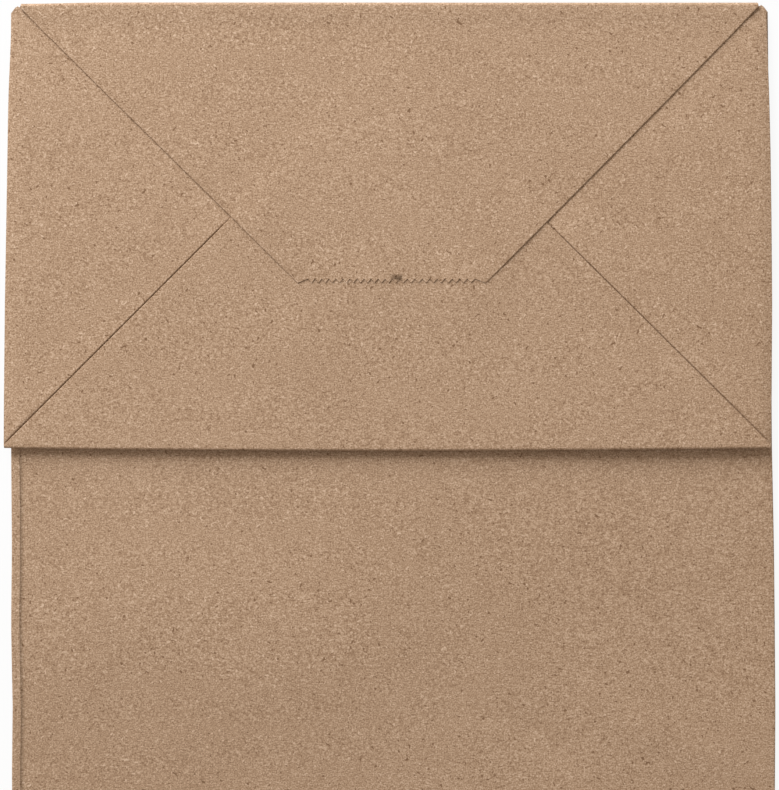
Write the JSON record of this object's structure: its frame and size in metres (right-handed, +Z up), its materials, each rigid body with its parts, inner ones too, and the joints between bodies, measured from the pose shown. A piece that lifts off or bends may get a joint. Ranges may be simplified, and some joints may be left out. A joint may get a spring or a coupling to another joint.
{
  "type": "flat-folded paper bag with handles",
  "caption": "Brown paper block-bottom carrier bag folded flat, bottom turned up over the front panel, with flat folded paper handles laid out at the mouth.",
  "frame": {"origin": "on the ground under the middle of the bag and its handles together", "axes": "+Y from the mouth to the bottom end, +X to the right seen from above, +Z up from the back panel to the front panel"},
  "size_m": [0.306, 0.527, 0.0075],
  "materials": {
    "brown_paper": "uncoated, unbleached, matt",
    "paper_tape": "uncoated, several plies glued, matt",
    "patch_paper": "uncoated, matt"
  },
  "bodies": {
    "root": {"bag": "brown_paper", "handle_back": "paper_tape", "handle_front": "paper_tape", "patch_back": "patch_paper", "patch_front": "patch_paper"}
  },
  "joints": []
}
